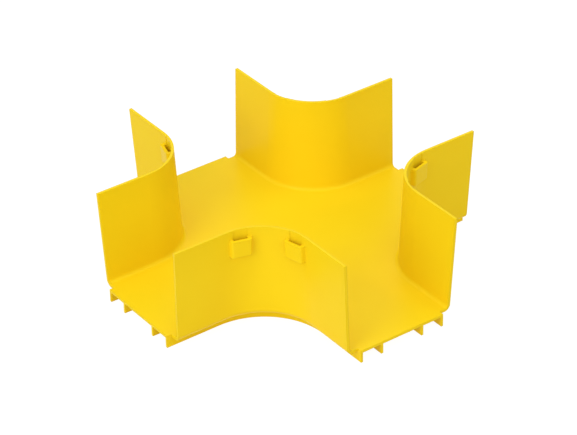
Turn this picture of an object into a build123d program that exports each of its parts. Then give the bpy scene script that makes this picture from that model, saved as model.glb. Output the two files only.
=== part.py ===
from build123d import *
from math import cos, radians, tan
import os

# Four-way cross fitting of a fibre raceway, moulded in one piece.
# Origin: centre of the cross, at the level of the rib feet. X and Y run along the arms, +Z is up.

# Channel section, in millimetres
channel_width = 115.0    # over the outer faces of the walls, at their tops
overall_height = 99.0    # from the rib feet to the wall tops
wall_thickness = 2.5     # walls, folds and floor
fold_radius = 6.0        # outside of the round between wall and floor
wall_draft = 2.8         # degrees that each wall leans outwards

# Plan of the cross
wall_reach = 152.4       # centre of the cross to the wall ends, at half height
end_draft = 1.7          # degrees that each wall end leans outwards
notch_radius = 46.0      # outer face of each corner wall, at its top
tongue_length = 3.3      # floor and ribs beyond the wall ends

# Ribs under the floor
rib_height = 9.3         # rib feet to the underside of the floor
rib_thickness = 2.0
rib_inset = 4.8          # foot of the fold to the outside of the outer ribs
inner_rib_share = 0.5    # place of the inner ribs between the centre line and the outer ribs

# Cover pockets, two on the notch side of each corner wall
pocket_angle = 15.3      # degrees into the corner arc from each leg
pocket_drop = 8.4        # wall top to pocket rim
pocket_height = 15.5     # rim to the underside
pocket_standoff = 5.4    # wall face to the front of the pocket
pocket_plate = 2.7       # thickness of the front plate
pocket_front_width = 14.0
pocket_base_width = 23.2   # over both flanks, where they run into the wall
pocket_floor = 2.0       # below the slot
slot_width = 12.3
slot_recess = 0.5        # relief in the wall face, from the slot up to the wall top

# Overrun of cuts beyond the faces that they pass
overrun = 5.0

# Derived places
half_channel = channel_width / 2
lean = tan(radians(wall_draft))
corner_centre = half_channel + notch_radius
floor_level = rib_height + wall_thickness
fold_centre_level = rib_height + fold_radius
fold_centre_inset = (overall_height - fold_centre_level) * lean + fold_radius / cos(radians(wall_draft))
floor_half_width = half_channel - fold_centre_inset
end_lean = tan(radians(end_draft))
tongue_reach = wall_reach + tongue_length
tongue_half_width = floor_half_width - rib_inset
outer_rib_place = tongue_half_width - rib_thickness / 2
inner_rib_place = outer_rib_place * inner_rib_share
rim_level = overall_height - pocket_drop
slot_depth = pocket_height - pocket_floor


def notch_face_radius(level):
    """Radius of a corner wall's outer face about the corner centre at one level."""
    return notch_radius + (overall_height - level) * lean


def wall_section():
    """Section across one wall: leaning leg, fold and the first strip of floor."""
    inset = wall_thickness / cos(radians(wall_draft))
    inner_fold_radius = fold_radius - wall_thickness
    # The section is drawn with X from the wall top towards the channel and Y upwards.
    centre = (fold_centre_inset, fold_centre_level)
    turn = 90 - wall_draft
    outer_fold = CenterArc(centre, fold_radius, 180 + wall_draft, turn)
    inner_fold = CenterArc(centre, inner_fold_radius, 180 + wall_draft, turn)
    strip_end = fold_centre_inset + rib_inset + wall_thickness
    edges = [
        Line((0, overall_height), outer_fold @ 0),
        outer_fold,
        Line(outer_fold @ 1, (strip_end, rib_height)),
        Line((strip_end, rib_height), (strip_end, floor_level)),
        Line((strip_end, floor_level), inner_fold @ 1),
        inner_fold,
        Line(inner_fold @ 0, (inset, overall_height)),
        Line((inset, overall_height), (0, overall_height)),
    ]
    return make_face(edges)


def wall_space():
    """Space between the four pairs of wall ends, wider towards the top."""
    width = wall_reach * 2 - overall_height * end_lean
    return extrude(Rectangle(width, width), overall_height, taper=-end_draft)


def corner_wall():
    """L-shaped wall round one notch: leg, quarter arc and leg, swept in one piece."""
    sweep_reach = wall_reach + overall_height * end_lean
    path = FilletPolyline(
        (sweep_reach, half_channel, 0),
        (half_channel, half_channel, 0),
        (half_channel, sweep_reach, 0),
        radius=notch_radius,
    )
    start = Plane(origin=(sweep_reach, half_channel, 0), x_dir=(0, -1, 0), z_dir=(-1, 0, 0))
    return sweep(start * wall_section(), path=path) & wall_space()


def notch_space(depth, high):
    """Space on the notch side of a corner arc, reaching a depth into the wall."""
    low = floor_level
    bottom_radius = notch_face_radius(low) + depth
    top_radius = notch_face_radius(high) + depth
    cone = Cone(bottom_radius, top_radius, high - low, align=(Align.CENTER, Align.CENTER, Align.MIN))
    return Pos(corner_centre, corner_centre, low) * cone


def pocket_frame():
    """Frame on the wall face at rim level, X straight into the wall and Z up along the leaning wall."""
    into_wall = Vector(-1, 0, 0).rotate(Axis.Z, pocket_angle)
    up = Vector(0, 0, 1)
    place = Vector(corner_centre, corner_centre, rim_level) + into_wall * notch_face_radius(rim_level)
    return Plane(place, x_dir=into_wall + up * lean, z_dir=up - into_wall * lean)


def pocket_plan():
    """Outline of a pocket seen along the wall: a flat front between two flanks that swing into the wall."""
    front = -pocket_standoff
    front_half = pocket_front_width / 2
    base_half = pocket_base_width / 2
    along_front = (0, 1)
    edges = [
        Spline((0, -base_half), (front, -front_half), tangents=(along_front, along_front)),
        Line((front, -front_half), (front, front_half)),
        Spline((front, front_half), (0, base_half), tangents=(along_front, along_front)),
        Polyline((0, base_half), (wall_thickness, base_half), (wall_thickness, -base_half), (0, -base_half)),
    ]
    return make_face(edges)


def pocket_body():
    """Outside of one pocket, standing off the wall face."""
    body = Pos(0, 0, -pocket_height) * extrude(pocket_plan(), pocket_height + pocket_drop)
    return (pocket_frame() * body) & notch_space(wall_thickness / 2, rim_level)


def pocket_slot():
    """Slot behind the pocket's front plate, with the relief above it in the wall face."""
    near = pocket_plate - pocket_standoff
    far = wall_thickness
    plan = Pos((near + far) / 2, 0) * Rectangle(far - near, slot_width)
    column = Pos(0, 0, -slot_depth) * extrude(plan, slot_depth + pocket_drop + overrun)
    return (pocket_frame() * column) & notch_space(slot_recess, overall_height + overrun)


def corner():
    """One corner wall with its two pockets, mirror images about the diagonal."""
    diagonal = Plane(origin=(0, 0, 0), x_dir=(0, 0, 1), z_dir=(1, -1, 0))
    body = pocket_body()
    slot = pocket_slot()
    return corner_wall() + body + mirror(body, diagonal) - slot - mirror(slot, diagonal)


def cross_outline(half_width, reach):
    """Plan of the cross at one half width, rounded about the four corner centres."""
    cross = Rectangle(reach * 2, half_width * 2) + Rectangle(half_width * 2, reach * 2)
    inner_corners = cross.vertices().filter_by(lambda v: abs(abs(v.X) - abs(v.Y)) < wall_thickness)
    return fillet(inner_corners, corner_centre - half_width)


def floor_plate():
    """Flat floor, out to the tongue at each arm end."""
    return Pos(0, 0, rib_height) * extrude(cross_outline(tongue_half_width, tongue_reach), wall_thickness)


def ribs():
    """Outer ribs that follow the walls round the corners, and inner ribs straight through."""
    rib_top = rib_height + wall_thickness / 2
    outside = cross_outline(tongue_half_width, tongue_reach)
    inside = cross_outline(tongue_half_width - rib_thickness, tongue_reach + overrun)
    plan = outside - inside
    for place in (-inner_rib_place, inner_rib_place):
        plan += Pos(0, place) * Rectangle(tongue_reach * 2, rib_thickness)
        plan += Pos(place, 0) * Rectangle(rib_thickness, tongue_reach * 2)
    return extrude(plan, rib_top)


def cross_fitting():
    """The whole moulding as one solid."""
    one = corner()
    pair = one + mirror(one, Plane.YZ)
    corners = pair + mirror(pair, Plane.XZ)
    return floor_plate() + ribs() + corners


os.makedirs("parts", exist_ok=True)
export_step(cross_fitting(), "parts/cross_fitting.step")
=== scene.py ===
import bpy
import math
from mathutils import Matrix, Vector

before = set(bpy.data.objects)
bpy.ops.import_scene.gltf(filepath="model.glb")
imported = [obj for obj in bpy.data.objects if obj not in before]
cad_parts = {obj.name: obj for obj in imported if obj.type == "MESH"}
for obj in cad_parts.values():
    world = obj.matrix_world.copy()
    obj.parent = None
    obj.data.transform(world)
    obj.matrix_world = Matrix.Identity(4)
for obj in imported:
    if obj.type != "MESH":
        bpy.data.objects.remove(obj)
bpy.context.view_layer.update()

# Camera: where it looks in the fitting's frame, and from where. Metres and degrees.
LOOK_AT = Vector((0.00168, -0.00179, 0.0450))
CAMERA_AZIMUTH = -35.577
CAMERA_ELEVATION = 33.105
CAMERA_DISTANCE = 2.3733
CAMERA_ROLL = -1.185
CAMERA_CLIP = 100.0
# Lens and sensor in millimetres
LENS = 174.90
SENSOR_WIDTH = 36.0

# Yellow plastic: faint flow clouds, from deep to light
YELLOW_DEEP = (0.92, 0.660, 0.009)
YELLOW = (0.93, 0.675, 0.010)
YELLOW_LIGHT = (0.94, 0.690, 0.011)
CLOUD_STOPS = [(0.30, YELLOW_DEEP), (0.50, YELLOW), (0.70, YELLOW_LIGHT)]
CLOUD_NOISE = (14.0, 3.0, 0.5)     # scale, detail, roughness
# Fine grain in gloss and surface, and softly rounded edges
GRAIN_NOISE = (900.0, 4.0, 0.6)    # scale, detail, roughness
GLOSS_SPREAD = (0.34, 0.44)        # surface roughness, least and most
GRAIN_STRENGTH = 0.06
GRAIN_DEPTH = 0.0002
EDGE_RADIUS = 0.0008
EDGE_SAMPLES = 8
PLASTIC_IOR = 1.49
SPECULAR_LEVEL = 0.08

# Studio: name, azimuth and elevation in degrees and watts of each soft box round the fitting
SOFT_BOXES = [
    ("left_low", -77.0, 10.0, 8.9),
    ("left", -77.0, 33.0, 15.1),
    ("left_high", -77.0, 60.0, 10.5),
    ("right", -8.0, 33.0, 11.7),
    ("right_back", 60.0, 45.0, 6.5),
    ("left_back", 140.0, 45.0, 6.5),
    ("top", 0.0, 90.0, 13.6),
]
BOX_DISTANCE = 2.6
BOX_SIZE = 1.5
WORLD_LEVEL = 0.40
WHITE = (1.0, 1.0, 1.0, 1.0)
FLOOR_SIZE = 12.0
FLOOR_LEVEL = -0.0001    # just clear of the rib feet
# The floor as it lights the fitting: a reflecting share and an even share, warm as the
# light that yellow plastic throws back
FLOOR_GREY = 0.45
FLOOR_GLOW = 0.37
FLOOR_TINT = (1.0, 0.85, 0.40, 1.0)
# The floor as the camera sees it: a share that takes the shadow and an even share
SHADOW_GREY = 0.14
FLOOR_WHITE = 0.945


def new_material(name):
    """An empty node material and its node tree."""
    material = bpy.data.materials.new(name)
    material.use_nodes = True
    tree = material.node_tree
    tree.nodes.clear()
    return material, tree


def noise(tree, coordinates, scale, detail, roughness):
    """A noise texture read in object metres."""
    node = tree.nodes.new("ShaderNodeTexNoise")
    node.inputs["Scale"].default_value = scale
    node.inputs["Detail"].default_value = detail
    node.inputs["Roughness"].default_value = roughness
    tree.links.new(coordinates, node.inputs["Vector"])
    return node.outputs["Fac"]


def ramp(tree, value, stops):
    """A colour ramp over a value, from (position, colour) stops."""
    node = tree.nodes.new("ShaderNodeValToRGB")
    elements = node.color_ramp.elements
    while len(elements) < len(stops):
        elements.new(0.5)
    for element, (position, colour) in zip(elements, stops):
        element.position = position
        element.color = (*colour, 1.0)
    tree.links.new(value, node.inputs["Fac"])
    return node.outputs["Color"]


def spread(tree, value, low, high):
    """A value from 0 to 1 spread between low and high."""
    node = tree.nodes.new("ShaderNodeMapRange")
    node.inputs["To Min"].default_value = low
    node.inputs["To Max"].default_value = high
    tree.links.new(value, node.inputs["Value"])
    return node.outputs["Result"]


def yellow_plastic():
    """Satin moulded plastic."""
    material, tree = new_material("yellow_plastic")
    coordinates = tree.nodes.new("ShaderNodeTexCoord").outputs["Object"]
    shader = tree.nodes.new("ShaderNodeBsdfPrincipled")
    output = tree.nodes.new("ShaderNodeOutputMaterial")
    tree.links.new(shader.outputs["BSDF"], output.inputs["Surface"])

    clouds = noise(tree, coordinates, *CLOUD_NOISE)
    tree.links.new(ramp(tree, clouds, CLOUD_STOPS), shader.inputs["Base Color"])

    grain = noise(tree, coordinates, *GRAIN_NOISE)
    tree.links.new(spread(tree, grain, *GLOSS_SPREAD), shader.inputs["Roughness"])

    bump = tree.nodes.new("ShaderNodeBump")
    bump.inputs["Strength"].default_value = GRAIN_STRENGTH
    bump.inputs["Distance"].default_value = GRAIN_DEPTH
    tree.links.new(grain, bump.inputs["Height"])
    rounded = tree.nodes.new("ShaderNodeBevel")
    rounded.samples = EDGE_SAMPLES
    rounded.inputs["Radius"].default_value = EDGE_RADIUS
    tree.links.new(rounded.outputs["Normal"], bump.inputs["Normal"])
    tree.links.new(bump.outputs["Normal"], shader.inputs["Normal"])

    shader.inputs["IOR"].default_value = PLASTIC_IOR
    shader.inputs["Specular IOR Level"].default_value = SPECULAR_LEVEL
    return material


def glowing_grey(tree, grey, tint, glow):
    """A plain grey that also gives off some tinted light of its own."""
    diffuse = tree.nodes.new("ShaderNodeBsdfDiffuse")
    diffuse.inputs["Color"].default_value = (grey, grey, grey, 1.0)
    emission = tree.nodes.new("ShaderNodeEmission")
    emission.inputs["Color"].default_value = tint
    emission.inputs["Strength"].default_value = glow
    both = tree.nodes.new("ShaderNodeAddShader")
    tree.links.new(diffuse.outputs["BSDF"], both.inputs[0])
    tree.links.new(emission.outputs["Emission"], both.inputs[1])
    return both.outputs["Shader"]


def floor_material():
    """Light table: white to the camera with a faint shadow, an even warm grey to the fitting."""
    material, tree = new_material("floor")
    mix = tree.nodes.new("ShaderNodeMixShader")
    tree.links.new(camera_seen(tree), mix.inputs["Fac"])
    tree.links.new(glowing_grey(tree, FLOOR_GREY, FLOOR_TINT, FLOOR_GLOW), mix.inputs[1])
    tree.links.new(glowing_grey(tree, SHADOW_GREY, WHITE, FLOOR_WHITE), mix.inputs[2])
    output = tree.nodes.new("ShaderNodeOutputMaterial")
    tree.links.new(mix.outputs["Shader"], output.inputs["Surface"])
    return material


def camera_seen(tree):
    """1 for camera, glossy and transmission rays, 0 for the light that falls on the object."""
    path = tree.nodes.new("ShaderNodeLightPath")
    total = path.outputs["Is Camera Ray"]
    for name in ("Is Glossy Ray", "Is Transmission Ray"):
        either = tree.nodes.new("ShaderNodeMath")
        either.operation = "MAXIMUM"
        tree.links.new(total, either.inputs[0])
        tree.links.new(path.outputs[name], either.inputs[1])
        total = either.outputs["Value"]
    return total


def make_floor():
    """Square floor just under the rib feet."""
    half = FLOOR_SIZE / 2
    mesh = bpy.data.meshes.new("floor")
    plan = [(-half, -half), (half, -half), (half, half), (-half, half)]
    corners = [(x, y, FLOOR_LEVEL) for x, y in plan]
    mesh.from_pydata(corners, [], [(0, 1, 2, 3)])
    floor = bpy.data.objects.new("floor", mesh)
    bpy.context.collection.objects.link(floor)
    mesh.materials.append(floor_material())


def make_world(level):
    """Even studio light all round, white where the camera sees it."""
    world = bpy.data.worlds.new("studio")
    bpy.context.scene.world = world
    world.use_nodes = True
    tree = world.node_tree
    tree.nodes.clear()
    light = tree.nodes.new("ShaderNodeBackground")
    light.inputs["Color"].default_value = WHITE
    light.inputs["Strength"].default_value = level
    white = tree.nodes.new("ShaderNodeBackground")
    white.inputs["Color"].default_value = WHITE
    white.inputs["Strength"].default_value = 1.0
    mix = tree.nodes.new("ShaderNodeMixShader")
    tree.links.new(camera_seen(tree), mix.inputs["Fac"])
    tree.links.new(light.outputs["Background"], mix.inputs[1])
    tree.links.new(white.outputs["Background"], mix.inputs[2])
    output = tree.nodes.new("ShaderNodeOutputWorld")
    tree.links.new(mix.outputs["Shader"], output.inputs["Surface"])


def direction(azimuth, elevation):
    """Unit vector from the fitting towards an azimuth and an elevation in degrees."""
    turn, rise = math.radians(azimuth), math.radians(elevation)
    level = math.cos(rise)
    return Vector((level * math.cos(turn), level * math.sin(turn), math.sin(rise)))


def soft_box(name, azimuth, elevation, watts):
    """A square soft box that faces the fitting from one side."""
    lamp = bpy.data.lights.new(name, "AREA")
    lamp.shape = "SQUARE"
    lamp.size = BOX_SIZE
    lamp.energy = watts
    light = bpy.data.objects.new(name, lamp)
    bpy.context.collection.objects.link(light)
    away = direction(azimuth, elevation)
    light.location = LOOK_AT + away * BOX_DISTANCE
    light.rotation_euler = (-away).to_track_quat("-Z", "Y").to_euler()


def make_camera():
    """The photograph's camera, on a turn, a tilt, a roll and a distance about the look-at point."""
    back = direction(CAMERA_AZIMUTH, CAMERA_ELEVATION)
    turn = (-back).to_track_quat("-Z", "Y").to_matrix()
    turn = turn @ Matrix.Rotation(math.radians(CAMERA_ROLL), 3, "Z")
    lens = bpy.data.cameras.new("camera")
    lens.lens = LENS
    lens.sensor_width = SENSOR_WIDTH
    lens.clip_end = CAMERA_CLIP
    camera = bpy.data.objects.new("camera", lens)
    bpy.context.collection.objects.link(camera)
    camera.matrix_world = Matrix.Translation(LOOK_AT + back * CAMERA_DISTANCE) @ turn.to_4x4()
    bpy.context.scene.camera = camera


plastic = yellow_plastic()
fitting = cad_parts["cross_fitting"]
for slot in fitting.material_slots:
    slot.material = plastic

make_floor()
make_world(WORLD_LEVEL)
for name, azimuth, elevation, watts in SOFT_BOXES:
    soft_box(name, azimuth, elevation, watts)
make_camera()
bpy.context.scene.view_settings.view_transform = "Standard"
